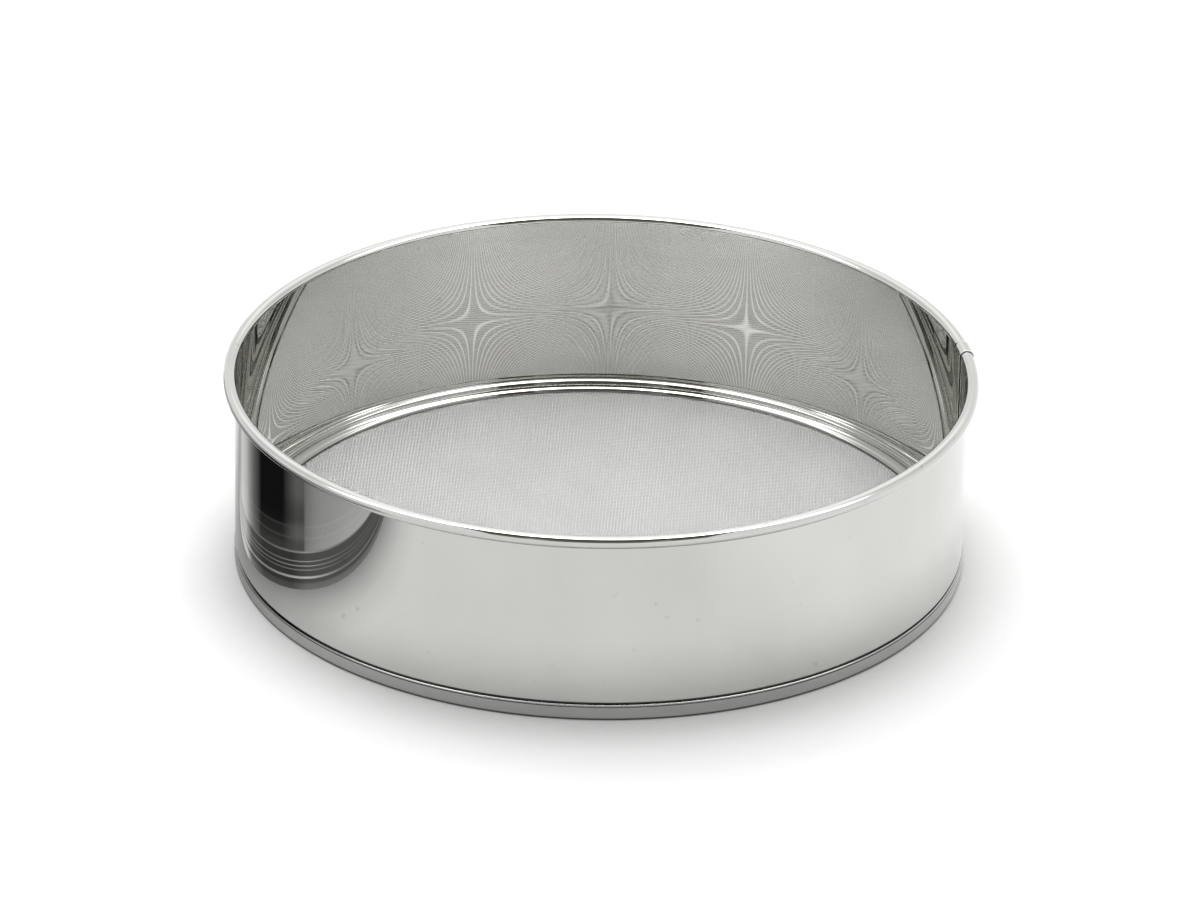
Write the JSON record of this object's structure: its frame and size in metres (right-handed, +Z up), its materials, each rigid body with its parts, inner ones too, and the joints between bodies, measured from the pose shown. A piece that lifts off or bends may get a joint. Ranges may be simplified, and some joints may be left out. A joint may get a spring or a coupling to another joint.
{
  "type": "drum sieve",
  "caption": "Round sheet steel drum sieve with a rolled rim and a flat disc of woven wire cloth clamped near its foot.",
  "frame": {"origin": "on the table, on the drum's axis", "axes": "+Z up along the drum's axis; +X to the right and +Y to the back in the reference picture"},
  "size_m": [0.3, 0.3, 0.0809],
  "materials": {
    "polished_sheet": "mirror polished stainless sheet",
    "rim_wire": "drawn wire",
    "wire_cloth": "drawn stainless wire",
    "ring_steel": "polished",
    "base_steel": "polished, slightly satin"
  },
  "bodies": {
    "root": {"drum_wall": "polished_sheet", "rim_wire": "rim_wire", "sieve_cloth": "wire_cloth", "retaining_ring": "ring_steel", "base_ring": "base_steel"}
  },
  "joints": []
}
